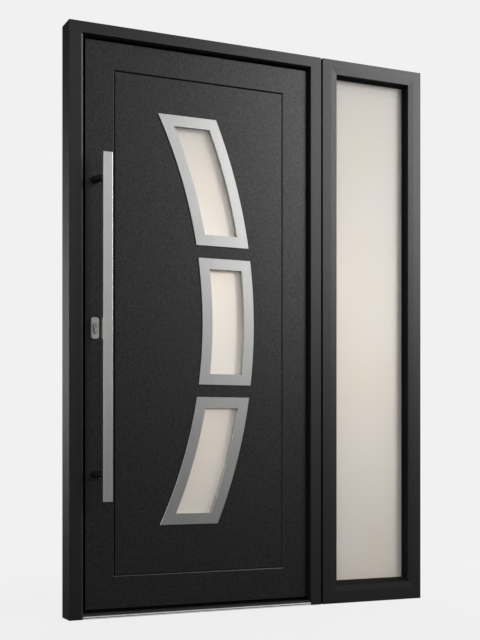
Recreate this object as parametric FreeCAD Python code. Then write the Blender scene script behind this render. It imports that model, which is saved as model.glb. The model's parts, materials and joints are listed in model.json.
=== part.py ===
import FreeCAD, Part
import os

from FreeCAD import Vector

# All sizes are in millimetres. X runs to the right as seen from outside, Y runs inward, Z runs up.
# The origin is the middle of the frame's footprint. Depths are counted inward from the outer face.

# Frame
FRAME_H = 2100.0
FRAME_DEPTH = 87.0
DOOR_W = 998.0
COUPLING_W = 8.0
LIGHT_W = 444.0
COUPLING_INSET = 14.0

# Door frame profile: a lip outside, bevelled on the lock side, and a narrower part behind it
LIP_DEPTH = 40.0
REBATE = 12.0
LOCK_FACE = 50.0
HINGE_FACE = 44.5
HEAD_FACE = 40.5
LIP_BEVEL_W = 6.0
LIP_BEVEL_DROP = 3.0
JAMB_CHAMFER = 2.5
LINER_T = 2.5
LINER_START = 8.0

# Threshold: a light base with a line along its nose, under a dark cover with a drain channel
THRESHOLD_H = 18.0
BASE_H = 9.5
COVER_INSET = 6.0
COVER_WALL = 4.0
COVER_FLOOR = 1.5
NOSE_LINE_Z = 3.8
NOSE_LINE_H = 2.4
NOSE_LINE_D = 1.5

# Leaf
LEAF_SETBACK = 20.0
SHADOW_LOCK = 13.0
SHADOW_HINGE = 6.8
SHADOW_HEAD = 11.5
SHADOW_FLOOR = 12.0
RUN_GAP = 5.0
EDGE_GAP = 7.0
SEAL_T = 3.0

# Leaf stiles and rails, as seen outside, and the joint around the panel
LOCK_STILE_W = 108.3
HINGE_STILE_W = 105.2
TOP_RAIL_H = 100.0
BOTTOM_RAIL_H = 116.8
JOINT_W = 3.5
JOINT_DEPTH = 10.0
JOINT_BEVEL_W = 3.0
JOINT_BEVEL_DROP = 1.8
ARRIS = 1.5

# Curved windows in one band between two arcs, stacked with equal gaps
BAND_W = 208.5
BAND_R = 1708.0
BAND_OFFSET = 109.1
BAND_DROP = 8.0
WINDOW_NAMES = ("bottom", "middle", "top")
WINDOW_BELOW = 175.7
WINDOW_ABOVE = 133.0
WINDOW_GAP = 45.0
TRIM_BORDER = 39.5
TRIM_BORDER_END = 40.0
TRIM_T = 4.0
TRIM_ARRIS = 0.8
RETURN_T = 3.0
PANE_T = 6.0
PANE_RECESS = 6.0
PANE_LAP = 12.0

# Sidelight
LIGHT_LEFT_POST = 61.0
LIGHT_RIGHT_POST = 57.0
LIGHT_HEAD = 54.5
LIGHT_SILL = 70.0
BEVEL_W = 24.0
BEVEL_DROP = 1.3
LEDGE_RISE = 15.5
GLASS_DEPTH = 36.0
GLASS_T = 6.0
GLASS_CAVITY = 16.0
GLASS_LAP = 15.0
GASKET_T = 4.0
GASKET_SHOW = 9.5
SPACER_INSET = 4.0
BEAD_SHOW = 6.0

# Pull bar on two leaning stand-offs
BAR_X = 124.0
BAR_W = 34.0
BAR_T = 20.0
BAR_Z = 415.0
BAR_L = 1223.0
BAR_STAND = 55.0
BAR_ROUND = 1.5
BAR_END_CHAMFER = 1.0
STANDOFF_R = 13.0
STANDOFF_LEAN = 27.0
STANDOFF_LOW_END = 94.0
STANDOFF_HIGH_END = 86.0

# Lock plates and cylinder
LOCK_X = 98.0
LOCK_Z = 1026.0
PLATE_W = 28.5
PLATE_H = 77.0
PLATE_T = 10.0
PLATE_CORNER_R = 10.0
PLATE_BEVEL = 2.5
PLATE_PLAY = 1.5
CYLINDER_RISE = 8.0
CYLINDER_R = 8.5
CYLINDER_WEB = 10.0
CYLINDER_DROP = 20.0
CYLINDER_PROUD = 6.0
CYLINDER_PLAY = 0.2
KEYWAY_W = 3.5
KEYWAY_H = 10.5
KEYWAY_DEPTH = 12.0

# Latch plate in the leaf's edge, and the strike in the jamb across from it
LATCH_RISE = 34.0
LATCH_W = 20.0
LATCH_H = 240.0
LATCH_T = 3.0
LATCH_SLOTS = ((-60.0, 45.0), (40.0, 32.0))
SLOT_W = 12.0
STRIKE_SLOT_DEPTH = 12.0

# Lever on the inside
LEVER_RISE = 92.0
ROSETTE_R = 26.0
ROSETTE_T = 8.0
ROSETTE_BEVEL = 2.0
NECK_R = 9.0
LEVER_STAND = 45.0
LEVER_L = 125.0
LEVER_H = 20.0
LEVER_T = 12.0
LEVER_ROUND = 4.0
LEVER_END_CHAMFER = 1.0

# Hinges on the inside
HINGE_END = 250.0
HINGE_H = 100.0
KNUCKLE_R = 8.0
KNUCKLE_PLAY = 1.0
PIN_R = 4.0
PIN_PLAY = 0.05
PIN_STAND = 13.0
PIN_HEAD_R = 6.0
PIN_HEAD_T = 3.0
FLAP_T = 4.0
FLAP_W = 28.0
FLAP_START = 5.0

# Places that follow from the sizes
TOTAL_W = DOOR_W + COUPLING_W + LIGHT_W
LEFT = -TOTAL_W / 2
RIGHT = TOTAL_W / 2
OUTSIDE = -FRAME_DEPTH / 2
INSIDE = FRAME_DEPTH / 2
DOOR_RIGHT = LEFT + DOOR_W
LIGHT_LEFT = DOOR_RIGHT + COUPLING_W
LIP_BACK = OUTSIDE + LIP_DEPTH
LEAF_OUT = OUTSIDE + LEAF_SETBACK
SHOULDER = LIP_BACK + RUN_GAP + SEAL_T

# The door opening between the lips, and behind them
OPEN_X0 = LEFT + LOCK_FACE
OPEN_X1 = DOOR_RIGHT - HINGE_FACE
OPEN_Z0 = THRESHOLD_H
OPEN_Z1 = FRAME_H - HEAD_FACE
REAR_X0 = OPEN_X0 - REBATE
REAR_X1 = OPEN_X1 + REBATE
REAR_Z0 = OPEN_Z0 - REBATE
REAR_Z1 = OPEN_Z1 + REBATE

# The leaf's outer part, and the wider part that laps behind the lips
FACE_X0 = OPEN_X0 + SHADOW_LOCK
FACE_X1 = OPEN_X1 - SHADOW_HINGE
FACE_Z0 = OPEN_Z0 + SHADOW_FLOOR
FACE_Z1 = OPEN_Z1 - SHADOW_HEAD
WIDE_X0 = REAR_X0 + EDGE_GAP
WIDE_X1 = REAR_X1 - EDGE_GAP
WIDE_Z0 = REAR_Z0 + EDGE_GAP
WIDE_Z1 = REAR_Z1 - EDGE_GAP

# The opening in the leaf that the panel fills
PANEL_X0 = FACE_X0 + LOCK_STILE_W
PANEL_X1 = FACE_X1 - HINGE_STILE_W
PANEL_Z0 = FACE_Z0 + BOTTOM_RAIL_H
PANEL_Z1 = FACE_Z1 - TOP_RAIL_H

# The windows
WINDOW_H = (PANEL_Z1 - PANEL_Z0 - WINDOW_BELOW - WINDOW_ABOVE - 2 * WINDOW_GAP) / 3
WINDOW_Z = [PANEL_Z0 + WINDOW_BELOW + i * (WINDOW_H + WINDOW_GAP) for i in range(3)]
ARC_X = (PANEL_X0 + PANEL_X1) / 2 + BAND_OFFSET - BAND_W / 2 - BAND_R
ARC_Z = WINDOW_Z[1] + WINDOW_H / 2 - BAND_DROP

# The lock, the latch plate and the hinge pins
LOCK_AT = Vector(LEFT + LOCK_X, 0, LOCK_Z)
CYLINDER_Z = LOCK_Z + CYLINDER_RISE
LATCH_Y = (SHOULDER + INSIDE) / 2
LATCH_Z = LOCK_Z + LATCH_RISE
PIN_X = (REAR_X1 + WIDE_X1) / 2
PIN_Y = INSIDE + PIN_STAND


def block(x0, x1, y0, y1, z0, z1):
    """A box between two places on each axis, in either order."""
    low = Vector(min(x0, x1), min(y0, y1), min(z0, z1))
    return Part.makeBox(abs(x1 - x0), abs(y1 - y0), abs(z1 - z0), low)


def rod(radius, start, end):
    axis = end - start
    return Part.makeCylinder(radius, axis.Length, start, axis)


def inward_rod(radius, x, z, y0, y1):
    return rod(radius, Vector(x, y0, z), Vector(x, y1, z))


def prism(points, direction):
    """The closed outline through points, pushed along direction."""
    corners = [Vector(*point) for point in points]
    return Part.Face(Part.makePolygon(corners + corners[:1])).extrude(Vector(*direction))


def fuse(first, *others):
    for other in others:
        first = first.fuse(other)
    return first.removeSplitter()


def save(name, *shapes):
    """Write one node: a solid, or several like ones that don't touch."""
    for shape in shapes:
        if len(shape.Solids) != 1 or not shape.isValid():
            raise ValueError(f"{name} is not one sound solid")
    solids = [shape.Solids[0] for shape in shapes]
    whole = solids[0] if len(solids) == 1 else Part.makeCompound(solids)
    whole.exportStep(f"parts/{name}.step")


def bevel_cutter(x0, x1, z0, z1, face_y, drop, width):
    """A tapered plug: cut from a frame, it bevels the edges around an opening with mitred corners.

    It is as large as the opening at face_y + drop, and wider by width all round at face_y.
    """
    over = 1.0
    loops = []
    for grow, y in ((width * (1 + over), face_y - drop * over), (0.0, face_y + drop)):
        xs, zs = (x0 - grow, x1 + grow), (z0 - grow, z1 + grow)
        corners = [Vector(xs[i], y, zs[j]) for i, j in ((0, 0), (1, 0), (1, 1), (0, 1), (0, 0))]
        loops.append(Part.makePolygon(corners))
    return Part.makeLoft(loops, True, True)


def around(solid, face_y):
    """The part of the space near face_y that lies outside the tapered plug solid."""
    depth = 2 * ARRIS
    return block(LEFT, RIGHT, face_y - depth, face_y + depth, 0, FRAME_H).cut(solid)


def window_outline(border, end_border, z0, y0, y1):
    """A curved window's shape between two depths, smaller by a border along the arcs and at the ends."""
    centre = Vector(ARC_X, y0, ARC_Z)
    inward = Vector(0, 1, 0)
    disc = Part.makeCylinder(BAND_R + BAND_W - border, y1 - y0, centre, inward)
    core = Part.makeCylinder(BAND_R + border, y1 - y0, centre, inward)
    return disc.cut(core).common(block(LEFT, RIGHT, y0, y1, z0 + end_border, z0 + WINDOW_H - end_border))


def door_frame():
    arris = bevel_cutter(OPEN_X0, OPEN_X1, -FRAME_H, OPEN_Z1, OUTSIDE, ARRIS, ARRIS)
    lip_bevel = bevel_cutter(OPEN_X0, OPEN_X1, -FRAME_H, OPEN_Z1 - LIP_BEVEL_W,
                             OUTSIDE, LIP_BEVEL_DROP, LIP_BEVEL_W)
    for name, x_out, x_lip, x_rear in (
        ("lock_jamb", LEFT, OPEN_X0, REAR_X0),
        ("hinge_jamb", DOOR_RIGHT, OPEN_X1, REAR_X1),
    ):
        jamb = prism([
            (x_out, OUTSIDE, 0), (x_lip, OUTSIDE, 0), (x_lip, LIP_BACK, 0),
            (x_rear, LIP_BACK, 0), (x_rear, INSIDE, 0), (x_out, INSIDE, 0),
        ], (0, 0, FRAME_H))
        if name == "lock_jamb":
            corner = [edge for edge in jamb.Edges
                      if abs(edge.CenterOfMass.x - LEFT) < 0.01 and abs(edge.CenterOfMass.y - OUTSIDE) < 0.01]
            jamb = jamb.makeChamfer(JAMB_CHAMFER, corner).cut(lip_bevel).cut(latch_plate(REAR_X0, -1))
            for slot in latch_slots(REAR_X0, -STRIKE_SLOT_DEPTH):
                jamb = jamb.cut(slot)
        else:
            jamb = jamb.cut(arris)
        save(name, jamb)

    head = fuse(
        block(OPEN_X0, OPEN_X1, OUTSIDE, LIP_BACK, OPEN_Z1, FRAME_H),
        block(REAR_X0, REAR_X1, LIP_BACK, INSIDE, REAR_Z1, FRAME_H),
    )
    save("door_head", head.cut(arris))

    base = fuse(
        block(OPEN_X0, OPEN_X1, OUTSIDE, LIP_BACK, 0, BASE_H),
        block(REAR_X0, REAR_X1, LIP_BACK, INSIDE, 0, REAR_Z0),
    )
    save("threshold", base.cut(block(OPEN_X0, OPEN_X1, OUTSIDE, OUTSIDE + NOSE_LINE_D,
                                     NOSE_LINE_Z, NOSE_LINE_Z + NOSE_LINE_H)))
    cover = block(OPEN_X0, OPEN_X1, OUTSIDE + COVER_INSET, LIP_BACK, BASE_H, THRESHOLD_H)
    save("threshold_cover", cover.cut(block(OPEN_X0, OPEN_X1, OUTSIDE + COVER_INSET + COVER_WALL,
                                            LIP_BACK - COVER_WALL, BASE_H + COVER_FLOOR, THRESHOLD_H)))

    liner_y = OUTSIDE + LINER_START
    liner = block(OPEN_X0, OPEN_X1, liner_y, LIP_BACK, OPEN_Z0, OPEN_Z1)
    save("door_reveal_liner", liner.cut(block(OPEN_X0 + LINER_T, OPEN_X1 - LINER_T, liner_y, LIP_BACK,
                                              OPEN_Z0, OPEN_Z1 - LINER_T)))

    save("coupling_strip", block(DOOR_RIGHT, LIGHT_LEFT, OUTSIDE + COUPLING_INSET,
                                 INSIDE - COUPLING_INSET, 0, FRAME_H))


def sidelight():
    x0, x1 = LIGHT_LEFT + LIGHT_LEFT_POST, RIGHT - LIGHT_RIGHT_POST
    z0, z1 = LIGHT_SILL, FRAME_H - LIGHT_HEAD
    glass_y = OUTSIDE + GLASS_DEPTH
    gasket_y = glass_y - GASKET_T
    inner_y = glass_y + GLASS_T + GLASS_CAVITY
    bead_y = inner_y + GLASS_T

    def frame_ring(y0, y1, outer, inner):
        """A rectangular ring, outer beyond and inner within the edge of the clear opening."""
        hole = block(x0 + inner, x1 - inner, y0, y1, z0 + inner, z1 - inner)
        return block(x0 - outer, x1 + outer, y0, y1, z0 - outer, z1 + outer).cut(hole)

    bevel = bevel_cutter(x0, x1, z0, z1, OUTSIDE, BEVEL_DROP, BEVEL_W)
    pocket = block(x0 - GLASS_LAP, x1 + GLASS_LAP, gasket_y, INSIDE, z0 - GLASS_LAP, z1 + GLASS_LAP)
    ledge = prism([(x0, OUTSIDE + BEVEL_DROP, z0), (x0, gasket_y, z0), (x0, gasket_y, z0 + LEDGE_RISE)],
                  (x1 - x0, 0, 0))
    sill = block(x0, x1, OUTSIDE, INSIDE, 0, z0).cut(bevel)
    for name, member in (
        ("sidelight_left_post", block(LIGHT_LEFT, x0, OUTSIDE, INSIDE, 0, FRAME_H).cut(bevel)),
        ("sidelight_right_post", block(x1, RIGHT, OUTSIDE, INSIDE, 0, FRAME_H).cut(bevel)),
        ("sidelight_head", block(x0, x1, OUTSIDE, INSIDE, z1, FRAME_H).cut(bevel)),
        ("sidelight_sill", fuse(sill, ledge)),
    ):
        save(name, member.cut(pocket))

    liner = block(x0, x1, OUTSIDE + LINER_START, gasket_y, z0 + LEDGE_RISE, z1)
    liner = liner.cut(block(x0 + LINER_T, x1 - LINER_T, OUTSIDE, gasket_y, 0, z1 - LINER_T))
    save("sidelight_gasket", fuse(frame_ring(gasket_y, glass_y, GLASS_LAP, GASKET_SHOW), liner))

    for name, y in (("sidelight_outer_glass", glass_y), ("sidelight_inner_glass", inner_y)):
        save(name, block(x0 - GLASS_LAP, x1 + GLASS_LAP, y, y + GLASS_T, z0 - GLASS_LAP, z1 + GLASS_LAP))
    save("sidelight_spacer", frame_ring(glass_y + GLASS_T, inner_y, GLASS_LAP, -SPACER_INSET))

    side_beads = [
        block(x - GLASS_LAP * side, x + BEAD_SHOW * side, bead_y, INSIDE, z0 - GLASS_LAP, z1 + GLASS_LAP)
        for x, side in ((x0, 1), (x1, -1))
    ]
    end_beads = [
        block(x0 + BEAD_SHOW, x1 - BEAD_SHOW, bead_y, INSIDE, z - GLASS_LAP * side, z + BEAD_SHOW * side)
        for z, side in ((z0, 1), (z1, -1))
    ]
    save("sidelight_side_beads", *side_beads)
    save("sidelight_end_beads", *end_beads)


def cylinder_outline(play, y0, y1):
    """The lock cylinder's keyhole-shaped section between two depths, larger by play all round."""
    x, z = LOCK_AT.x, CYLINDER_Z
    half = CYLINDER_WEB / 2 + play
    return fuse(
        inward_rod(CYLINDER_R + play, x, z, y0, y1),
        block(x - half, x + half, y0, y1, z - CYLINDER_DROP, z),
        inward_rod(half, x, z - CYLINDER_DROP, y0, y1),
    )


def latch_plate(x, side):
    """A plate let into the face at x, towards side along X."""
    half_w, half_h = LATCH_W / 2, LATCH_H / 2
    return block(x, x + side * LATCH_T, LATCH_Y - half_w, LATCH_Y + half_w, LATCH_Z - half_h, LATCH_Z + half_h)


def latch_slots(x, reach):
    """The openings for latch and bolt, from the face at x and reach deep."""
    for rise, height in LATCH_SLOTS:
        z = LATCH_Z + rise
        yield block(x, x + reach, LATCH_Y - SLOT_W / 2, LATCH_Y + SLOT_W / 2, z - height / 2, z + height / 2)


def latch():
    for name, x, side in (("strike_plate", REAR_X0, -1), ("latch_plate", WIDE_X0, 1)):
        plate = latch_plate(x, side)
        for slot in latch_slots(x, side * LATCH_T):
            plate = plate.cut(slot)
        save(name, plate)


def leaf_sash():
    """Stiles run the full height, rails fit between them. All are stepped like the frame."""
    field = (FACE_X0, FACE_X1, FACE_Z0, FACE_Z1)
    wide = (WIDE_X0, WIDE_X1, WIDE_Z0, WIDE_Z1)
    panel = (PANEL_X0, PANEL_X1, PANEL_Z0, PANEL_Z1)
    inset = (field[0] + ARRIS, field[1] - ARRIS, field[2] + ARRIS, field[3] - ARRIS)
    wide_inset = (wide[0] + ARRIS, wide[1] - ARRIS, wide[2] + ARRIS, wide[3] - ARRIS)
    cutters = [
        bevel_cutter(*panel, LEAF_OUT, JOINT_BEVEL_DROP, JOINT_BEVEL_W),
        bevel_cutter(*panel, INSIDE, -JOINT_BEVEL_DROP, JOINT_BEVEL_W),
        around(bevel_cutter(*inset, LEAF_OUT + ARRIS, -ARRIS, ARRIS), LEAF_OUT - ARRIS),
        around(bevel_cutter(*wide_inset, INSIDE - ARRIS, ARRIS, ARRIS), INSIDE + ARRIS),
    ]

    def dress(member):
        for cutter in cutters:
            member = member.cut(cutter)
        return member

    for name, x_face, x_wide, x_panel in (
        ("lock_stile", FACE_X0, WIDE_X0, PANEL_X0),
        ("hinge_stile", FACE_X1, WIDE_X1, PANEL_X1),
    ):
        stile = fuse(
            block(x_face, x_panel, LEAF_OUT, SHOULDER, FACE_Z0, FACE_Z1),
            block(x_wide, x_panel, SHOULDER, INSIDE, WIDE_Z0, WIDE_Z1),
        )
        if name == "lock_stile":
            stile = stile.cut(cylinder_outline(CYLINDER_PLAY, LEAF_OUT, INSIDE)).cut(latch_plate(WIDE_X0, 1))
        save(name, dress(stile))

    for name, z_face, z_wide, z_panel in (
        ("top_rail", FACE_Z1, WIDE_Z1, PANEL_Z1),
        ("bottom_rail", FACE_Z0, WIDE_Z0, PANEL_Z0),
    ):
        rail = fuse(
            block(PANEL_X0, PANEL_X1, LEAF_OUT, SHOULDER, z_face, z_panel),
            block(PANEL_X0, PANEL_X1, SHOULDER, INSIDE, z_wide, z_panel),
        )
        save(name, dress(rail))

    y0, y1 = LIP_BACK + RUN_GAP, SHOULDER
    seal = block(WIDE_X0, WIDE_X1, y0, y1, WIDE_Z0, WIDE_Z1)
    save("leaf_seal", seal.cut(block(FACE_X0, FACE_X1, y0, y1, FACE_Z0, FACE_Z1)))


def leaf_panel():
    panel = block(PANEL_X0, PANEL_X1, LEAF_OUT, INSIDE, PANEL_Z0, PANEL_Z1)
    for y0, y1 in ((LEAF_OUT, LEAF_OUT + JOINT_DEPTH), (INSIDE - JOINT_DEPTH, INSIDE)):
        skin = block(PANEL_X0, PANEL_X1, y0, y1, PANEL_Z0, PANEL_Z1)
        panel = panel.cut(skin.cut(block(PANEL_X0 + JOINT_W, PANEL_X1 - JOINT_W, y0, y1,
                                         PANEL_Z0 + JOINT_W, PANEL_Z1 - JOINT_W)))

    def opening(lap, z, y0, y1):
        """The shape of a window's clear opening, larger by lap all round."""
        return window_outline(TRIM_BORDER - lap, TRIM_BORDER_END - lap, z, y0, y1)

    outer_pane = LEAF_OUT + PANE_RECESS
    inner_pane = INSIDE - PANE_RECESS - PANE_T
    spacers = []
    for window, z in zip(WINDOW_NAMES, WINDOW_Z):
        hole = opening(0, z, LEAF_OUT - TRIM_T, INSIDE + TRIM_T)
        panel = panel.cut(opening(RETURN_T, z, LEAF_OUT, INSIDE))
        for side, trim_y, return_y, pane_y in (
            ("outer", LEAF_OUT - TRIM_T, LEAF_OUT, outer_pane),
            ("inner", INSIDE, inner_pane + PANE_T, inner_pane),
        ):
            trim = window_outline(0, 0, z, trim_y, trim_y + TRIM_T)
            show_y = trim_y if side == "outer" else trim_y + TRIM_T
            rim = [edge for edge in trim.Edges
                   if all(abs(vertex.Y - show_y) < 0.01 for vertex in edge.Vertexes)]
            trim = fuse(trim.makeChamfer(TRIM_ARRIS, rim),
                        opening(RETURN_T, z, return_y, return_y + PANE_RECESS))
            save(f"{window}_window_{side}_trim", trim.cut(hole))
            pane = opening(PANE_LAP, z, pane_y, pane_y + PANE_T)
            panel = panel.cut(pane)
            save(f"{window}_window_{side}_glass", pane)
        spacers.append(opening(RETURN_T, z, outer_pane + PANE_T, inner_pane).cut(hole))
    save("window_spacers", *spacers)
    save("panel", panel)


def pull_bar():
    x = LEFT + BAR_X
    back = LEAF_OUT - BAR_STAND
    bar = block(x - BAR_W / 2, x + BAR_W / 2, back - BAR_T, back, BAR_Z, BAR_Z + BAR_L)
    bar = bar.makeFillet(BAR_ROUND, [edge for edge in bar.Edges if edge.Length > BAR_L - 1])
    ends = [edge for edge in bar.Edges
            if min(abs(edge.CenterOfMass.z - z) for z in (BAR_Z, BAR_Z + BAR_L)) < 0.01]
    save("pull_bar", bar.makeChamfer(BAR_END_CHAMFER, ends))

    posts = []
    for z in (BAR_Z + STANDOFF_LOW_END, BAR_Z + BAR_L - STANDOFF_HIGH_END):
        foot = Vector(x - STANDOFF_LEAN, LEAF_OUT, z)
        top = Vector(x, back, z)
        reach = (top - foot).normalize() * (2 * STANDOFF_R)
        slab = block(LEFT, RIGHT, back, LEAF_OUT, z - 2 * STANDOFF_R, z + 2 * STANDOFF_R)
        posts.append(rod(STANDOFF_R, foot - reach, top + reach).common(slab))
    save("pull_bar_standoffs", *posts)


def lock_plate(y_leaf, y_face):
    """A plate with round corners and a bevelled rim, on the leaf's face at y_leaf."""
    plate = block(LOCK_AT.x - PLATE_W / 2, LOCK_AT.x + PLATE_W / 2, y_leaf, y_face,
                  LOCK_AT.z - PLATE_H / 2, LOCK_AT.z + PLATE_H / 2)
    plate = plate.makeFillet(PLATE_CORNER_R, [edge for edge in plate.Edges if abs(edge.Length - PLATE_T) < 0.01])
    rim = [edge for edge in plate.Edges if abs(edge.CenterOfMass.y - y_face) < 0.01]
    return plate.makeChamfer(PLATE_BEVEL, rim).cut(cylinder_outline(PLATE_PLAY, y_leaf, y_face))


def lock():
    out_face, in_face = LEAF_OUT - PLATE_T, INSIDE + PLATE_T
    save("outer_lock_plate", lock_plate(LEAF_OUT, out_face))
    save("inner_lock_plate", lock_plate(INSIDE, in_face))

    y0, y1 = out_face - CYLINDER_PROUD, in_face + CYLINDER_PROUD
    cylinder = cylinder_outline(0, y0, y1)
    for mouth, end in ((y0, y0 + KEYWAY_DEPTH), (y1, y1 - KEYWAY_DEPTH)):
        cylinder = cylinder.cut(block(LOCK_AT.x - KEYWAY_W / 2, LOCK_AT.x + KEYWAY_W / 2, mouth, end,
                                      CYLINDER_Z - KEYWAY_H / 2, CYLINDER_Z + KEYWAY_H / 2))
    save("lock_cylinder", cylinder)


def lever():
    x, z = LOCK_AT.x, LOCK_AT.z + LEVER_RISE
    base_y = INSIDE + ROSETTE_T
    rosette = inward_rod(ROSETTE_R, x, z, INSIDE, base_y)
    rim = [edge for edge in rosette.Edges if abs(edge.CenterOfMass.y - base_y) < 0.01]
    save("lever_rosette", rosette.makeChamfer(ROSETTE_BEVEL, rim))

    grip_y = INSIDE + LEVER_STAND
    grip = block(x - NECK_R, x + LEVER_L, grip_y - LEVER_T, grip_y, z - LEVER_H / 2, z + LEVER_H / 2)
    grip = grip.makeFillet(LEVER_ROUND, [edge for edge in grip.Edges if edge.Length > LEVER_L])
    ends = [edge for edge in grip.Edges
            if min(abs(edge.CenterOfMass.x - end) for end in (x - NECK_R, x + LEVER_L)) < 0.01]
    grip = grip.makeChamfer(LEVER_END_CHAMFER, ends)
    save("lever", fuse(inward_rod(NECK_R, x, z, base_y, grip_y - LEVER_T / 2), grip))


def hinges():
    """The outer knuckles and their pin stay with the jamb, the middle knuckle turns with the leaf."""
    fixed, moving = [], []

    def knuckle(side, z0, z1):
        """A barrel around the pin with its flap on the inner face, towards side along X."""
        root = PIN_X + side * FLAP_START
        return fuse(
            block(root, root + side * FLAP_W, INSIDE, INSIDE + FLAP_T, z0, z1),
            block(root, PIN_X + side * KNUCKLE_R, INSIDE, PIN_Y, z0, z1),
            rod(KNUCKLE_R, Vector(PIN_X, PIN_Y, z0), Vector(PIN_X, PIN_Y, z1)),
        )

    for middle in (HINGE_END, FRAME_H / 2, FRAME_H - HINGE_END):
        z0, z1 = middle - HINGE_H / 2, middle + HINGE_H / 2
        low, high = z0 + HINGE_H / 3, z1 - HINGE_H / 3
        pin_foot, pin_top = Vector(PIN_X, PIN_Y, z0), Vector(PIN_X, PIN_Y, z1)
        flap = block(PIN_X + KNUCKLE_R + KNUCKLE_PLAY, PIN_X + FLAP_START + FLAP_W,
                     INSIDE, INSIDE + FLAP_T, z0, z1)
        head = rod(PIN_HEAD_R, pin_top, pin_top + Vector(0, 0, PIN_HEAD_T))
        fixed.append(fuse(knuckle(1, z0, low), knuckle(1, high, z1), flap, rod(PIN_R, pin_foot, pin_top), head))
        bore = rod(PIN_R + PIN_PLAY, pin_foot, pin_top)
        moving.append(knuckle(-1, low + KNUCKLE_PLAY, high - KNUCKLE_PLAY).cut(bore))
    save("hinges_frame_side", *fixed)
    save("hinges_leaf_side", *moving)


os.makedirs("parts", exist_ok=True)
door_frame()
sidelight()
leaf_sash()
leaf_panel()
latch()
pull_bar()
lock()
lever()
hinges()
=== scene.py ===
import json
import math

import bmesh
import bpy
from mathutils import Matrix, Vector


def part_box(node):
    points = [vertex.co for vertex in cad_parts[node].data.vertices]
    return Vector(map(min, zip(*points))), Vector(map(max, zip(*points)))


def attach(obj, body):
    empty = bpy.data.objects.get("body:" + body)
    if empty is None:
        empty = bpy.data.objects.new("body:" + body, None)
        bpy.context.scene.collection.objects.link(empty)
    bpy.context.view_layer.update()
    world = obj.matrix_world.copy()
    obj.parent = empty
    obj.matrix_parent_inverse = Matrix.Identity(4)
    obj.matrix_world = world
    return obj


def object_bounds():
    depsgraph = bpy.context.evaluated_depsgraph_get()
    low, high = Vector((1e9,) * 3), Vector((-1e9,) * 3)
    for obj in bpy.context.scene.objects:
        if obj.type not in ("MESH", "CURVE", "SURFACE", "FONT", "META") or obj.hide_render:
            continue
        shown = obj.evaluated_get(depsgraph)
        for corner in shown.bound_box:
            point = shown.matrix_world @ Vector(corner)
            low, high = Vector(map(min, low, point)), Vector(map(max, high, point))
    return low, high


# Everything is in metres, in the part's own frame: X right, Y inward, Z up, origin on the floor.

# Camera: level, with a vertical shift, seen from the front left
LENS = 66.1
SHIFT_Y = 0.1906
CAMERA_AT = (-1.895, -4.0155, 0.6241)
CAMERA_PITCH = math.radians(90)
CAMERA_YAW = math.radians(-24.68)

# Studio: backdrop, light on matt faces, floor, and two soft boxes (name, place, target, size, power)
BACKDROP = 0.88
FILL = 0.45
NEUTRAL = (1.0, 1.0, 0.995)
FLOOR_R = 2.2
FLOOR_DROP = 0.0005
FLOOR_TONE = (0.8, 0.8, 0.8)
FLOOR_FADE = (0.8, FLOOR_R - 0.1, 0.93, 1.0)
SOFT_BOXES = (
    ("key", (3.05, -3.1, 3.05), (0.0, 0.0, 1.2), (1.8, 2.8), 120.0),
    ("back", (1.2, 2.8, 3.7), (0.0, 0.0, 1.1), (1.8, 2.4), 60.0),
)

# Light that glossy faces mirror, as ramps over a direction's x, y or z: from, to, light at each
WALL_ACROSS, WALL_RISE = (0.6, 0.95, 0.0, 3.6), (0.0, 0.5, 0.0, 1.0)
ROOM_RISE = (-0.2, 0.5, 0.25, 1.5)
DIM_RISE, DIM_ACROSS = (-0.1, 0.4, 0.02, 0.28), (0.3, 0.8, 0.0, 0.14)
LEFT_START, LEFT_END = (-0.2, 0.08, 1.0, 0.0), (-0.95, -0.8, 0.0, 1.0)
BEHIND = (-0.15, 0.15, 0.0, 1.0)
BAND_Z, BAND_FADE, BAND_ACROSS = 0.085, (0.0, 0.17, 2.0, 0.02), (0.0, 0.2, 0.0, 1.0)

# Light that comes through the glass, as ramps of the same kind
GLOW_SINK, GLOW_ACROSS = (0.38, 0.52, 0.05, 0.0), (0.38, 0.52, 0.91, 0.66)
GLOW_RISE, GLOW_FADE = (-0.15, 0.14, 0.24, 2.25), (0.07, 0.22, 1.0, 0.22)
PEAK_Z, PEAK_FADE, PEAK_ACROSS = 0.13, (0.0, 0.06, 1.0, 0.0), (0.38, 0.52, 1.3, 0.24)
ABOVE_RISE = (0.5, 0.8, 0.0, 4.0)
WARM_LOW, WARM_MIDDLE, WARM_HIGH = (1.0, 0.86, 0.77), (1.0, 0.92, 0.85), (1.0, 0.99, 0.98)
WARM_RISE, COOL_RISE = (-0.1, 0.15, 0.0, 1.0), (0.18, 0.3, 0.0, 1.0)

# Surfaces: noise scales, dust on faces that look up, gloss, glass, and the streaks of brushed metal
GRAIN_SCALE, SPECK_SCALE, CLOUD_SCALE, TINT_SCALE = 900.0, 230.0, 9.0, 3.0
NOISE_LOW, NOISE_HIGH = 0.3, 0.7
DUST_TILT = (0.7, 0.95, 0.0, 1.0)
DUST_ROUGHNESS, DUST_SPECULAR = 0.8, 0.1
COAT_SHINE, COAT_SPREAD, COAT_SPECKLE = (0.3, 0.8, 0.5, 0.15), 0.05, 0.26
COAT_GRAIN, COAT_PEEL = (0.00003, 0.7), (0.0005, 0.6)
METAL_SPECULAR, METAL_CLOUD, METAL_RELIEF = 0.5, 0.02, 0.0004
MATT_SPECULAR, MATT_SCALE, MATT_GRAIN = 0.2, 700.0, (0.00005, 0.4)
GLASS_IOR, GLASS_CLEARNESS, GLASS_CLOUD = 1.35, 0.8, (0.35, 0.65, 0.0, 1.0)
STREAK_LONG, STREAK_FINE, BAND_SHARE = 6.0, 1800.0, 0.08
UPRIGHT = (STREAK_FINE, STREAK_FINE, STREAK_LONG)
LEVEL = (STREAK_LONG, STREAK_FINE, STREAK_FINE)

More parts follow.
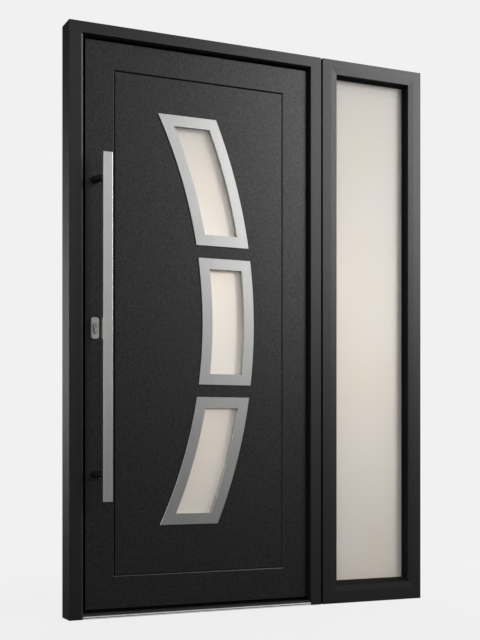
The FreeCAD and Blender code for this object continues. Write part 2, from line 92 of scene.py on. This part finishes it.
# Sizes that the details share with the part
REBATE = 0.012
GLASS_LAP = 0.015
BEAD_SHOW = 0.006
HINGE_END = 0.25
HINGE_H = 0.1
FLAP_T = 0.004
KNUCKLE_R = 0.008
KNUCKLE_PLAY = 0.001
PIN_R = 0.004
CYLINDER_R = 0.0085
CYLINDER_WEB = 0.01
CYLINDER_DROP = 0.02
KEYWAY_W = 0.0035
KEYWAY_H = 0.0105
KEYWAY_DEPTH = 0.012
STANDOFF_R = 0.013
LATCH_SLOTS = ((-0.06, 0.045), (0.04, 0.032))
NOSE_LINE_Z = 0.005
COVER_WALL = 0.004
COVER_FLOOR = 0.0015

# Mesh quality
SEGMENTS = 24
SHARP_ANGLE = math.radians(35)

# Seals: the bulb, the wedge as (inset, depth) points, and the fins under the leaf
BULB_W = 0.006
BULB_DEPTH = 0.0036
BULB_STEPS = 8
WEDGE = ((0, 0), (0.003, 0), (0.0026, 0.0016), (0.0012, 0.004), (0, 0.005))
FIN_W = 0.004
FIN_TIP_W = 0.0012
FIN_H = 0.0035
FIN_INSET = 0.008
FIN_END = 0.004

# Threshold: the black strip in the nose's groove as (depth, rise) points, painted shade that darkens the groove
# line; the tread's ribs and the drain's grille
NOSE_GROOVE = 0.0015
NOSE_SHADE_STRIP = (
    (0, -0.0012), (-0.001, -0.0012), (-0.0014, -0.0006), (-0.0014, 0.0006), (-0.001, 0.0012), (0, 0.0012),
)
RIB_COUNT = 6
RIB_W = 0.0024
RIB_TOP_W = 0.00144
RIB_H = 0.001
RIB_MARGIN = 0.007
RIB_END = 0.001
GRILLE_COUNT = 34
GRILLE_BAR_W = 0.006
GRILLE_CHAMFER = 0.001
GRILLE_SINK = 0.001

# Screws and caps
SCREW_R = 0.0042
SCREW_H = 0.0016
SMALL_SCREW_R = 0.003
SOCKET_SIDES = 6
CAP_R = 0.007
CAP_H = 0.0012
FIXING_HEIGHTS = (0.42, 0.78, 1.4, 1.72)
FIXING_BACK = 0.018

# Lock: plate screws, latch and bolt heads, key plug rings, and black blocks in the key slots and liners round the
# cylinder, painted shade for the slots and the gap
PLATE_SCREW_END = 0.012
HEAD_T = 0.0104
HEAD_PLAY = 0.0008
BOLT_SINK = 0.0004
BOLT_ROUND = 0.0006
LATCH_REACH = 0.001
LATCH_FLAT = 0.002
LATCH_SINK = 0.0015
RING_INNER = 0.0058
RING_OUTER = 0.0066
RING_H = 0.0003
KEY_SHADE_SINK = 0.0004
KEY_SHADE_ROUND = 0.0005
CYLINDER_SHADE_SINK = 0.0012
CYLINDER_SHADE_CHAMFER = 0.0006
CYLINDER_SHADE_PLAY, CYLINDER_SHADE_FRONT, CYLINDER_SHADE_BACK = 0.0002, 0.0013, 0.0014
OUTLINE_STEPS = 20

# Hinges: screws from the pin and from each hinge's middle, bottom caps and washers
FRAME_FLAP_X, FRAME_FLAP_SCREWS = 0.0215, (-0.038, -0.013, 0.013, 0.038)
LEAF_FLAP_X, LEAF_FLAP_SCREWS = -0.021, (-0.008, 0.008)
HINGE_CAP_R = 0.0062
HINGE_CAP_H = 0.003
WASHER_H = 0.0006
WASHER_PLAY = 0.0001
WASHER_SHORT = 0.0006

# Lever: the set screw's place on the neck, and the neck's collar
NECK_SCREW_OUT = 0.008
NECK_R = 0.009
COLLAR_INNER = 0.0092
COLLAR_OUTER = 0.0112
COLLAR_H = 0.0014

LEFT, UP, INWARD = Vector((-1, 0, 0)), Vector((0, 0, 1)), Vector((0, 1, 0))

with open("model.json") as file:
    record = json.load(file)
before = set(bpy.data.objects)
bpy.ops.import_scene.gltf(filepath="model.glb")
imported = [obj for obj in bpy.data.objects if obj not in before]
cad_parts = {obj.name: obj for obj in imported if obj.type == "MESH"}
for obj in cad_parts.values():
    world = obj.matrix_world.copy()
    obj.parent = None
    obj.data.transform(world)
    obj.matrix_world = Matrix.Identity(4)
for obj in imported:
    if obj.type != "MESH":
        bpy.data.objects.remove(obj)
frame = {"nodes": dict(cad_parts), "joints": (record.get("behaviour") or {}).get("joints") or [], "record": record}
cad_box = [list(corner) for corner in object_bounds()]
nodes = frame["nodes"]
slots = {part["node"]: part["material_slot"] for part in frame["record"]["subparts"]}


# Node helpers

def rgba(colour):
    return (*colour, 1.0)


class Shader:
    """A short way to build a material's or the world's node tree."""

    def __init__(self, tree):
        self.tree = tree
        tree.nodes.clear()

    def add(self, kind, values=None, **settings):
        node = self.tree.nodes.new(kind)
        for name, value in settings.items():
            setattr(node, name, value)
        for key, value in (values or {}).items():
            self.put(node.inputs[key], value)
        return node

    def put(self, socket, value):
        if isinstance(value, bpy.types.NodeSocket):
            self.tree.links.new(value, socket)
        else:
            socket.default_value = value

    def math(self, operation, *values):
        node = self.add("ShaderNodeMath", operation=operation)
        for socket, value in zip(node.inputs, values):
            self.put(socket, value)
        return node.outputs[0]

    def away(self, value, centre):
        """How far a value is from a centre."""
        return self.math("ABSOLUTE", self.math("SUBTRACT", value, centre))

    def noise(self, place, scale, detail=2.0, roughness=0.5):
        return self.add("ShaderNodeTexNoise", {
            "Vector": place, "Scale": scale, "Detail": detail, "Roughness": roughness,
        }).outputs[0]

    def place(self, stretch=(1.0, 1.0, 1.0)):
        """Object coordinates, stretched along the axes."""
        coordinates = self.add("ShaderNodeTexCoord").outputs["Object"]
        return self.add("ShaderNodeMapping", {"Vector": coordinates, "Scale": stretch}).outputs[0]

    def fit(self, value, low, high, to_low, to_high):
        """A smooth ramp over a value."""
        node = self.add("ShaderNodeMapRange", {
            "Value": value, "From Min": low, "From Max": high, "To Min": to_low, "To Max": to_high,
        }, interpolation_type="SMOOTHSTEP")
        return node.outputs[0]

    def vary(self, noise, middle, spread):
        """A value that a noise moves up and down about its middle."""
        return self.fit(noise, NOISE_LOW, NOISE_HIGH, middle - spread, middle + spread)

    def mix(self, factor, first, second):
        node = self.add("ShaderNodeMix", data_type="FLOAT")
        for index, value in ((0, factor), (2, first), (3, second)):
            self.put(node.inputs[index], value)
        return node.outputs[0]

    def blend(self, factor, first, second):
        """A mix of two colours."""
        node = self.add("ShaderNodeMix", data_type="RGBA")
        for index, value in ((0, factor), (6, first), (7, second)):
            self.put(node.inputs[index], value)
        return node.outputs[2]

    def shade(self, colour, factor):
        """A colour made lighter or darker by a factor."""
        return self.add("ShaderNodeVectorMath", {0: colour, 3: factor}, operation="SCALE").outputs[0]

    def dust(self):
        """One on level faces that look up, where dust takes the gloss, and nothing elsewhere."""
        normal = self.add("ShaderNodeNewGeometry").outputs["Normal"]
        return self.fit(self.add("ShaderNodeSeparateXYZ", {0: normal}).outputs[2], *DUST_TILT)

    def bump(self, height, distance, strength, under=None):
        node = self.add("ShaderNodeBump", {"Height": height, "Distance": distance, "Strength": strength})
        if under is not None:
            self.put(node.inputs["Normal"], under)
        return node.outputs[0]


def new_material(name):
    material = bpy.data.materials.new(name)
    material.use_nodes = True
    return material, Shader(material.node_tree)


def finish_material(material, s, surface):
    s.put(s.add("ShaderNodeOutputMaterial").inputs["Surface"], surface)
    return material


def principled(material, s, values):
    return finish_material(material, s, s.add("ShaderNodeBsdfPrincipled", values).outputs[0])


# Materials

def coated(name, colour, roughness):
    """Fine-textured powder coat: a tight grain over specks of a few millimetres that shine unevenly."""
    material, s = new_material(name)
    place = s.place()
    fine = s.noise(place, GRAIN_SCALE)
    coarse = s.noise(place, SPECK_SCALE, 2.0, 0.6)
    tone = s.vary(coarse, 1.0, COAT_SPECKLE)
    facing = s.add("ShaderNodeLayerWeight", {"Blend": 0.5}).outputs["Facing"]
    shine = s.math("MULTIPLY", tone, s.fit(facing, *COAT_SHINE))
    dust = s.dust()
    return principled(material, s, {
        "Base Color": s.shade(colour, tone),
        "Roughness": s.mix(dust, s.vary(fine, roughness, COAT_SPREAD), DUST_ROUGHNESS),
        "Specular IOR Level": s.mix(dust, shine, DUST_SPECULAR),
        "Normal": s.bump(fine, *COAT_GRAIN, s.bump(coarse, *COAT_PEEL)),
    })


def brushed(name, colour, roughness, stretch, contrast=0.03, metallic=1.0):
    """Metal brushed along one axis: long thin streaks in height, tone and roughness."""
    material, s = new_material(name)
    streaks = s.noise(s.place(stretch), 1.0, 3.0, 0.65)
    bands = s.noise(s.place(tuple(BAND_SHARE * value for value in stretch)), 1.0)
    cloud = s.noise(s.place(), CLOUD_SCALE)
    tone = s.math("MULTIPLY", s.vary(streaks, 1.0, contrast), s.vary(cloud, 1.0, METAL_CLOUD))
    tone = s.math("MULTIPLY", tone, s.vary(bands, 1.0, contrast))
    dust = s.dust()
    return principled(material, s, {
        "Base Color": s.shade(colour, tone),
        "Metallic": metallic,
        "Roughness": s.mix(dust, s.vary(streaks, roughness, contrast), DUST_ROUGHNESS),
        "Specular IOR Level": s.mix(dust, METAL_SPECULAR, DUST_SPECULAR),
        "Normal": s.bump(streaks, METAL_RELIEF * contrast, 0.5),
    })


def glazing(name, tint, roughness):
    """Glass with a soft cloud in its tint. Satin glass scatters what it lets through."""
    material, s = new_material(name)
    cloud = s.fit(s.noise(s.place(), TINT_SCALE, 1.0), *GLASS_CLOUD)
    warmer = (tint[0], 0.985 * tint[1], 0.965 * tint[2])
    return principled(material, s, {
        "Base Color": s.blend(cloud, rgba(tint), rgba(warmer)),
        "Roughness": roughness,
        "IOR": GLASS_IOR,
        "Transmission Weight": GLASS_CLEARNESS,
    })


def matt_finish(name, colour, roughness=0.75):
    """An even surface with a fine grain: rubber, plastic or a dull coated strip."""
    material, s = new_material(name)
    grain = s.noise(s.place(), MATT_SCALE)
    darker = tuple(0.8 * value for value in colour)
    return principled(material, s, {
        "Base Color": s.blend(grain, rgba(darker), rgba(colour)),
        "Roughness": roughness,
        "Specular IOR Level": MATT_SPECULAR,
        "Normal": s.bump(grain, *MATT_GRAIN),
    })


LOOKS = {
    "anthracite_coat": (coated, (0.0035, 0.0035, 0.0035), 0.41),
    "black_metal": (coated, (0.006, 0.006, 0.006), 0.38),
    "grey_fitting": (brushed, (0.55, 0.55, 0.54), 0.36, UPRIGHT, 0.02, 0.7),
    "brushed_trim": (brushed, (0.54, 0.54, 0.535), 0.38, UPRIGHT, 0.015),
    "brushed_bar": (brushed, (0.92, 0.92, 0.9), 0.32, UPRIGHT, 0.012),
    "mill_aluminium": (brushed, (0.76, 0.77, 0.78), 0.45, LEVEL, 0.03, 0.3),
    "spacer_metal": (matt_finish, (0.8, 0.79, 0.77), 0.45),
    "nickel": (brushed, (0.7, 0.69, 0.67), 0.38, LEVEL),
    "frosted_glass": (glazing, (0.92, 0.91, 0.89), 0.38),
    "clear_glass": (glazing, (0.92, 0.91, 0.89), 0.05),
    "black_rubber": (matt_finish, (0.006, 0.006, 0.006)),
    "black_plastic": (matt_finish, (0.03, 0.03, 0.03), 0.5),
}
materials = {name: make(name, *values) for name, (make, *values) in LOOKS.items()}

for name, node in nodes.items():
    node.data.materials.clear()
    node.data.materials.append(materials["clear_glass" if name.endswith("inner_glass") else slots[name]])


# Mesh helpers

def skin(mesh, rows, around=True, loop=True):
    """Faces between rows of corners. Rows may close around, and the last may join the first."""
    for low, high in zip(rows, rows[1:] + (rows[:1] if loop else [])):
        count = max(len(low), len(high))
        for i in range(count if around else count - 1):
            j = (i + 1) % count
            corners = (low[i % len(low)], low[j % len(low)], high[j % len(high)], high[i % len(high)])
            mesh.faces.new(list(dict.fromkeys(corners)))


def polygon_reach(radius, sides, angle):
    """How far a regular polygon's outline reaches at an angle."""
    half = math.pi / sides
    return radius * math.cos(half) / math.cos(angle % (2 * half) - half)


def lathe(mesh, place, axis, profile, closed=False):
    """Turns a profile about an axis. Each step is (radius, height), and a polygon's sides if it has some."""
    turn = Vector(axis).to_track_quat("Z", "Y")
    rows = []
    for radius, height, *sides in profile:
        row = []
        for i in range(SEGMENTS if radius else 1):
            angle = 2 * math.pi * i / SEGMENTS
            reach = polygon_reach(radius, *sides, angle) if sides else radius
            spot = Vector((reach * math.cos(angle), reach * math.sin(angle), height))
            row.append(mesh.verts.new(Vector(place) + turn @ spot))
        rows.append(row)
    skin(mesh, rows, loop=closed)


def extrude(mesh, axis, start, end, section):
    """A straight length along one axis, from a section of points on the other two axes in order."""
    rows = []
    for along in (start, end):
        points = [list(point) for point in section]
        for point in points:
            point.insert(axis, along)
        rows.append([mesh.verts.new(point) for point in points])
    skin(mesh, rows, loop=False)
    for row in rows:
        mesh.faces.new(row)


def ridge(middle, foot, foot_w, top, top_w):
    """A section with four corners that narrows from its foot to its top."""
    return [
        (middle - foot_w / 2, foot), (middle - top_w / 2, top),
        (middle + top_w / 2, top), (middle + foot_w / 2, foot),
    ]


def sweep(mesh, profile, x0, x1, z0, z1, closed=True):
    """A profile of (inset, depth) points run round a rectangle's four sides, or round all but its foot."""
    rows = []
    for inset, y in profile:
        foot, head = (z0 + inset if closed else z0), z1 - inset
        corners = ((x0 + inset, foot), (x0 + inset, head), (x1 - inset, head), (x1 - inset, foot))
        rows.append([mesh.verts.new((x, y, z)) for x, z in corners])
    skin(mesh, rows, around=closed)
    if not closed:
        for i in (0, -1):
            mesh.faces.new([row[i] for row in rows])


def soft_block(mesh, low, high, radius):
    """A block with rounded edges."""
    low, high = Vector(low), Vector(high)
    shape = Matrix.Translation((low + high) / 2) @ Matrix.Diagonal((*(high - low), 1.0))
    made = bmesh.ops.create_cube(mesh, size=1.0, matrix=shape)
    edges = list({edge for corner in made["verts"] for edge in corner.link_edges})
    bmesh.ops.bevel(mesh, geom=edges, offset=radius, segments=2, profile=0.5, affect="EDGES")


def screw(mesh, place, axis, radius=SCREW_R):
    """A domed screw head with a socket."""
    lathe(mesh, place, axis, [
        (0, 0), (radius, 0), (radius, 0.3 * SCREW_H), (0.9 * radius, 0.7 * SCREW_H),
        (0.65 * radius, SCREW_H), (0.5 * radius, SCREW_H, SOCKET_SIDES),
        (0.5 * radius, 0.35 * SCREW_H, SOCKET_SIDES), (0, 0.35 * SCREW_H),
    ])


def cap(mesh, place, axis, radius=CAP_R, height=CAP_H):
    """A low domed cap."""
    lathe(mesh, place, axis, [
        (0, 0), (radius, 0), (radius, 0.4 * height),
        (0.85 * radius, 0.85 * height), (0.5 * radius, height), (0, height),
    ])


def collar(mesh, place, axis, inner, outer, height):
    """A flat ring."""
    lathe(mesh, place, axis, [(inner, 0), (outer, 0), (outer, height), (inner, height)], closed=True)


def cylinder_outline(play):
    """The lock cylinder's outline about its plug, larger all round by a play: points (x, z) in order."""
    radius, half = CYLINDER_R + play, CYLINDER_WEB / 2 + play
    start = math.asin(half / radius) - math.pi / 2
    points = []
    for i in range(OUTLINE_STEPS + 1):
        angle = start + (math.pi - 2 * start) * i / OUTLINE_STEPS
        points.append((radius * math.cos(angle), radius * math.sin(angle)))
    for i in range(OUTLINE_STEPS + 1):
        angle = math.pi + math.pi * i / OUTLINE_STEPS
        points.append((half * math.cos(angle), half * math.sin(angle) - CYLINDER_DROP))
    return points


def piece(name, slot, body, mesh):
    """Makes an object of a finished mesh, with the look of a material slot, that moves with a body."""
    bmesh.ops.recalc_face_normals(mesh, faces=mesh.faces)
    data = bpy.data.meshes.new(name)
    mesh.to_mesh(data)
    mesh.free()
    data.shade_smooth()
    data.set_sharp_from_angle(angle=SHARP_ANGLE)
    data.materials.append(materials[slot])
    made = bpy.data.objects.new(name, data)
    bpy.context.collection.objects.link(made)
    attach(made, body)


# Details on the frame

def door_seal():
    """A rubber bulb on the back of the frame's lips, facing the leaf's seal."""
    # door_reveal_liner is the black lining of the frame's reveals, partly a seal and partly painted shade that
    # keeps the reveals dark.
    low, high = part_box("door_reveal_liner")
    profile = []
    for i in range(BULB_STEPS + 1):
        angle = math.pi * i / BULB_STEPS
        profile.append((BULB_W / 2 * (1 - math.cos(angle)), high.y + BULB_DEPTH * math.sin(angle)))
    out = (REBATE + BULB_W) / 2
    mesh = bmesh.new()
    sweep(mesh, profile, low.x - out, high.x + out, low.z, high.z + out, closed=False)
    piece("door_bulb_seal", "black_rubber", "frame", mesh)


def sidelight_wedge():
    """The rubber wedge between the sidelight's inner glass and its beads."""
    low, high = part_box("sidelight_inner_glass")
    edge = GLASS_LAP + BEAD_SHOW
    profile = [(inset, high.y + depth) for inset, depth in WEDGE]
    mesh = bmesh.new()
    sweep(mesh, profile, low.x + edge, high.x - edge, low.z + edge, high.z - edge)
    piece("sidelight_wedge_gasket", "black_rubber", "frame", mesh)


def threshold_details():
    """A black strip in the nose's groove, painted shade that darkens the groove line; ribs on the tread and a
    grille of bars in the drain.
    """
    base_low, base_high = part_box("threshold")
    cover_low, cover_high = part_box("threshold_cover")

    # A black strip in the groove: painted shade that darkens the groove line.
    mesh = bmesh.new()
    groove = base_low.y + NOSE_GROOVE
    section = [(groove + depth, NOSE_LINE_Z + rise) for depth, rise in NOSE_SHADE_STRIP]
    extrude(mesh, 0, cover_low.x, cover_high.x, section)
    piece("threshold_nose_painted_shade", "black_rubber", "frame", mesh)

    mesh = bmesh.new()
    tread = cover_high.z - REBATE
    start, end = cover_high.y + RIB_MARGIN, base_high.y - RIB_MARGIN
    for i in range(RIB_COUNT):
        y = start + (end - start) * i / (RIB_COUNT - 1)
        section = ridge(y, tread, RIB_W, tread + RIB_H, RIB_TOP_W)
        extrude(mesh, 0, base_low.x + RIB_END, base_high.x - RIB_END, section)
    piece("threshold_ribs", "mill_aluminium", "frame", mesh)

    mesh = bmesh.new()
    floor, top = cover_low.z + COVER_FLOOR, cover_high.z - GRILLE_SINK
    shoulder, half = top - GRILLE_CHAMFER, GRILLE_BAR_W / 2
    flat = half - GRILLE_CHAMFER
    for i in range(GRILLE_COUNT):
        x = cover_low.x + (cover_high.x - cover_low.x) * (i + 0.5) / GRILLE_COUNT
        extrude(mesh, 1, cover_low.y + COVER_WALL, cover_high.y - COVER_WALL, [
            (x - half, floor), (x - half, shoulder), (x - flat, top),
            (x + flat, top), (x + half, shoulder), (x + half, floor),
        ])
    piece("drain_grille", "black_plastic", "frame", mesh)


def frame_caps():
    """Round caps over the wall fixings in the jambs' rebates."""
    low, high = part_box("door_reveal_liner")
    mesh = bmesh.new()
    for x, side in ((low.x - REBATE, -LEFT), (high.x + REBATE, LEFT)):
        for z in FIXING_HEIGHTS:
            cap(mesh, (x, high.y + FIXING_BACK, z), side)
    piece("fixing_caps", "black_plastic", "frame", mesh)


# Details of the lock, the hinges and the leaf

def latch_details():
    """Screws in the two plates, and the heads of the bolt and the latch in the leaf's plate."""
    latch_low, latch_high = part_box("latch_plate")
    strike_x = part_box("strike_plate")[1].x
    middle = (latch_low + latch_high) / 2
    spread = (latch_high.z - latch_low.z) / 2 - PLATE_SCREW_END
    for name, body, x, side in (
        ("strike_screws", "frame", strike_x, -LEFT),
        ("latch_screws", "leaf", latch_low.x, LEFT),
    ):
        mesh = bmesh.new()
        for z in (middle.z - spread, middle.z + spread):
            screw(mesh, (x, middle.y, z), side)
        piece(name, "nickel", body, mesh)

    mesh = bmesh.new()
    (bolt_rise, bolt_h), (latch_rise, latch_h) = LATCH_SLOTS
    outer, inner = middle.y - HEAD_T / 2, middle.y + HEAD_T / 2
    z, half = middle.z + bolt_rise, bolt_h / 2 - HEAD_PLAY
    soft_block(mesh, (latch_low.x + BOLT_SINK, outer, z - half),
               (latch_high.x, inner, z + half), BOLT_ROUND)
    z, half = middle.z + latch_rise, latch_h / 2 - HEAD_PLAY
    tip = latch_low.x - LATCH_REACH
    extrude(mesh, 2, z - half, z + half, [
        (latch_high.x, outer), (tip, outer), (tip, middle.y - LATCH_FLAT),
        (latch_low.x + LATCH_SINK, inner), (latch_high.x, inner),
    ])
    piece("latch_and_bolt_heads", "nickel", "leaf", mesh)


def cylinder_details():
    """Rings round the key plugs; black blocks in the key slots and black liners round the lock cylinder, painted
    shade for the deep slots and the gap round the cylinder.
    """
    low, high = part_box("lock_cylinder")
    x, z = (low.x + high.x) / 2, high.z - CYLINDER_R
    rings, key_slot_shades, cylinder_shades = (bmesh.new() for _ in range(3))
    for y, side, plate in ((low.y, 1, "outer_lock_plate"), (high.y, -1, "inner_lock_plate")):
        collar(rings, (x, y, z), -side * INWARD, RING_INNER, RING_OUTER, RING_H)
        # A black block that fills the key slot: painted shade for the deep keyway.
        near, far = sorted((y + side * KEY_SHADE_SINK, y + side * KEYWAY_DEPTH))
        soft_block(key_slot_shades, (x - KEYWAY_W / 2, near, z - KEYWAY_H / 2),
                   (x + KEYWAY_W / 2, far, z + KEYWAY_H / 2), KEY_SHADE_ROUND)
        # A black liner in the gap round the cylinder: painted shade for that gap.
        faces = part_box(plate)
        rim, foot = y + side * CYLINDER_SHADE_SINK, (faces[1].y if side > 0 else faces[0].y)
        profile = (
            (CYLINDER_SHADE_PLAY, rim), (CYLINDER_SHADE_FRONT, rim + side * CYLINDER_SHADE_CHAMFER),
            (CYLINDER_SHADE_BACK, foot), (CYLINDER_SHADE_PLAY, foot),
        )
        skin(cylinder_shades, [
            [cylinder_shades.verts.new((x + px, depth, z + pz)) for px, pz in cylinder_outline(play)]
            for play, depth in profile
        ])
    piece("key_plug_rings", "nickel", "leaf", rings)
    # The black slot blocks and cylinder liners are painted shade.
    piece("key_slot_painted_shade", "black_rubber", "leaf", key_slot_shades)
    piece("cylinder_painted_shade", "black_rubber", "leaf", cylinder_shades)


def hinge_details():
    """Screws in the hinges' flaps, a cap under each hinge and washers between its knuckles."""
    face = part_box("hinges_frame_side")[0].y + FLAP_T
    pin_x, pin_y, _ = frame["joints"][0]["pos_m"]
    frame_screws, leaf_screws, washers, caps = (bmesh.new() for _ in range(4))
    for middle in (HINGE_END, (cad_box[0][2] + cad_box[1][2]) / 2, cad_box[1][2] - HINGE_END):
        for rise in FRAME_FLAP_SCREWS:
            screw(frame_screws, (pin_x + FRAME_FLAP_X, face, middle + rise), INWARD)
        for rise in LEAF_FLAP_SCREWS:
            screw(leaf_screws, (pin_x + LEAF_FLAP_X, face, middle + rise), INWARD)
        cap(caps, (pin_x, pin_y, middle - HINGE_H / 2), -UP, HINGE_CAP_R, HINGE_CAP_H)
        for side in (-1, 1):
            z = middle + side * (HINGE_H / 6 - KNUCKLE_PLAY / 2) - WASHER_H / 2
            collar(washers, (pin_x, pin_y, z), UP, PIN_R + WASHER_PLAY, KNUCKLE_R - WASHER_SHORT, WASHER_H)
    piece("hinge_screws_frame_side", "nickel", "frame", frame_screws)
    piece("hinge_screws_leaf_side", "nickel", "leaf", leaf_screws)
    piece("hinge_washers", "black_plastic", "frame", washers)
    piece("hinge_bottom_caps", "black_metal", "frame", caps)


def leaf_details():
    """Fins under the leaf, small screws in the stand-offs and the lever, a collar on the lever's neck."""
    low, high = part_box("leaf_seal")
    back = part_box("bottom_rail")[1].y
    mesh = bmesh.new()
    for y in (high.y + FIN_INSET, back - FIN_INSET):
        section = ridge(y, low.z, FIN_W, low.z - FIN_H, FIN_TIP_W)
        extrude(mesh, 0, low.x + FIN_END, high.x - FIN_END, section)
    piece("bottom_seal_fins", "black_rubber", "leaf", mesh)

    low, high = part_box("pull_bar_standoffs")
    mesh = bmesh.new()
    for z in (low.z, high.z - 2 * STANDOFF_R):
        screw(mesh, ((low.x + high.x) / 2, (low.y + high.y) / 2, z), -UP, SMALL_SCREW_R)
    low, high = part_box("lever_rosette")
    x, z = (low.x + high.x) / 2, (low.z + high.z) / 2
    screw(mesh, (x, high.y + NECK_SCREW_OUT, z - NECK_R), -UP, SMALL_SCREW_R)
    piece("set_screws", "nickel", "leaf", mesh)

    mesh = bmesh.new()
    collar(mesh, (x, high.y, z), INWARD, COLLAR_INNER, COLLAR_OUTER, COLLAR_H)
    piece("lever_collar", "black_plastic", "leaf", mesh)


door_seal()
sidelight_wedge()
threshold_details()
frame_caps()
latch_details()
cylinder_details()
hinge_details()
leaf_details()


# Studio

def mirrored_light(s, x, y, z):
    """What glossy faces mirror: a bright wall to the right, a dim room in front, a bright band behind."""
    wall = s.math("MULTIPLY", s.fit(x, *WALL_ACROSS), s.fit(z, *WALL_RISE))
    room = s.fit(z, *ROOM_RISE)
    dim = s.math("ADD", s.fit(z, *DIM_RISE), s.fit(x, *DIM_ACROSS))
    left = s.math("MULTIPLY", s.fit(x, *LEFT_START), s.fit(x, *LEFT_END))
    front = s.math("ADD", wall, s.mix(left, dim, room))
    back = s.mix(s.fit(x, *BAND_ACROSS), s.fit(s.away(z, BAND_Z), *BAND_FADE), room)
    return s.mix(s.fit(y, *BEHIND), front, back)


def glass_light(s, x, z):
    """What comes through the glass: a room with a bright peak over a dim foot, and light from above."""
    rise = s.math("SUBTRACT", z, s.fit(x, *GLOW_SINK))
    glow = s.math("MULTIPLY", s.fit(rise, *GLOW_RISE), s.fit(rise, *GLOW_FADE))
    glow = s.math("MULTIPLY", glow, s.fit(x, *GLOW_ACROSS))
    peak = s.math("MULTIPLY", s.fit(s.away(rise, PEAK_Z), *PEAK_FADE), s.fit(x, *PEAK_ACROSS))
    glow = s.math("MULTIPLY_ADD", glow, peak, glow)
    return s.math("ADD", glow, s.fit(z, *ABOVE_RISE))


def studio_world():
    """Light by direction for glossy faces and glass, and even light for matt faces and the backdrop."""
    world = bpy.data.worlds.new("studio")
    world.use_nodes = True
    bpy.context.scene.world = world
    s = Shader(world.node_tree)
    direction = s.add("ShaderNodeTexCoord").outputs["Generated"]
    x, y, z = s.add("ShaderNodeSeparateXYZ", {0: direction}).outputs
    ray = s.add("ShaderNodeLightPath").outputs

    strength = s.mix(ray["Is Transmission Ray"], mirrored_light(s, x, y, z), glass_light(s, x, z))
    strength = s.mix(ray["Is Diffuse Ray"], strength, FILL)
    strength = s.mix(ray["Is Camera Ray"], strength, BACKDROP)
    warm = s.blend(s.fit(z, *WARM_RISE), rgba(WARM_LOW), rgba(WARM_MIDDLE))
    warm = s.blend(s.fit(z, *COOL_RISE), warm, rgba(WARM_HIGH))
    colour = s.blend(ray["Is Transmission Ray"], rgba(NEUTRAL), warm)
    background = s.add("ShaderNodeBackground", {"Color": colour, "Strength": strength})
    s.put(s.add("ShaderNodeOutputWorld").inputs["Surface"], background.outputs[0])


def studio_floor():
    """A pale disc that keeps a faint shadow and fades into the backdrop at its rim."""
    bpy.ops.mesh.primitive_circle_add(
        vertices=96, radius=FLOOR_R, fill_type="NGON", location=(0, 0, -FLOOR_DROP))
    floor = bpy.context.object
    floor.name = "floor"
    floor.visible_glossy = False
    floor.visible_transmission = False
    material, s = new_material("floor")
    radius = s.add("ShaderNodeVectorMath", {0: s.place()}, operation="LENGTH").outputs["Value"]
    seen = s.add("ShaderNodeLightPath").outputs["Is Camera Ray"]
    glow = s.add("ShaderNodeEmission", {"Color": rgba(NEUTRAL), "Strength": BACKDROP}).outputs[0]
    matt = s.add("ShaderNodeBsdfDiffuse", {"Color": rgba(FLOOR_TONE)}).outputs[0]
    factor = s.math("MULTIPLY", seen, s.fit(radius, *FLOOR_FADE))
    mix = s.add("ShaderNodeMixShader", {0: factor, 1: matt, 2: glow})
    floor.data.materials.append(finish_material(material, s, mix.outputs[0]))


def soft_box(name, place, target, size, power):
    """A rectangular lamp that faces a target and isn't seen through the glass."""
    data = bpy.data.lights.new(name, "AREA")
    data.shape = "RECTANGLE"
    data.size, data.size_y = size
    data.energy = power
    lamp = bpy.data.objects.new(name, data)
    bpy.context.collection.objects.link(lamp)
    lamp.visible_transmission = False
    lamp.location = place
    lamp.rotation_euler = (Vector(target) - Vector(place)).to_track_quat("-Z", "Y").to_euler()


def studio_camera():
    data = bpy.data.cameras.new("camera")
    data.lens = LENS
    data.shift_y = SHIFT_Y
    camera = bpy.data.objects.new("camera", data)
    camera.location = CAMERA_AT
    camera.rotation_euler = (CAMERA_PITCH, 0.0, CAMERA_YAW)
    bpy.context.collection.objects.link(camera)
    bpy.context.scene.camera = camera


studio_world()
studio_floor()
for lamp in SOFT_BOXES:
    soft_box(*lamp)
studio_camera()
bpy.context.scene.view_settings.view_transform = "Standard"
